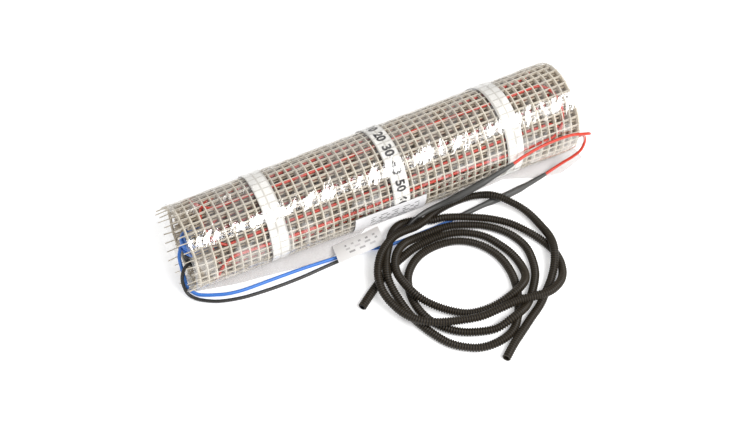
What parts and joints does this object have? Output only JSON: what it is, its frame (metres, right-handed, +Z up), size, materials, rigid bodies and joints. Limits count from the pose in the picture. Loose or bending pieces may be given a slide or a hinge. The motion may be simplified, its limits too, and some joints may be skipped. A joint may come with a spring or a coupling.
{
  "type": "underfloor heating mat",
  "caption": "Rolled underfloor heating mat in clear film, with its cold leads, joint sleeves, red tails and a loose coil of corrugated sensor conduit.",
  "frame": {"origin": "middle of the footprint of the roll with its film flap, on the surface it lies on", "axes": "+X along the roll from the end where the leads come out to the end with the red tails, +Z up, -Y to the side with the film flap and the conduit coil"},
  "size_m": [0.5187, 0.3258, 0.1174],
  "materials": {
    "mesh": "matte glass fibre mesh",
    "red_cable": "satin",
    "tape": "matte tape",
    "printed_tape": "matte tape with plain marks",
    "film": "clear shrink film",
    "label": "satin",
    "black_lead": "satin",
    "blue_lead": "satin",
    "shrink_sleeve": "satin",
    "conduit": "satin"
  },
  "bodies": {
    "root": {"mat_roll": "mesh", "heating_cable": "red_cable", "tape_band_left": "tape", "tape_band_middle": "printed_tape", "tape_band_right": "tape", "film_wrap": "film", "roll_label": "label", "black_lead_hank": "black_lead", "blue_lead_hank": "blue_lead", "black_lead": "black_lead", "blue_lead": "blue_lead", "black_joint_sleeve": "shrink_sleeve", "blue_joint_sleeve": "shrink_sleeve", "black_side_tail": "red_cable", "blue_side_tail": "red_cable", "lead_label": "label", "sensor_conduit_coil": "conduit", "sensor_conduit_left_end": "conduit", "sensor_conduit_front_end": "conduit"}
  },
  "joints": []
}
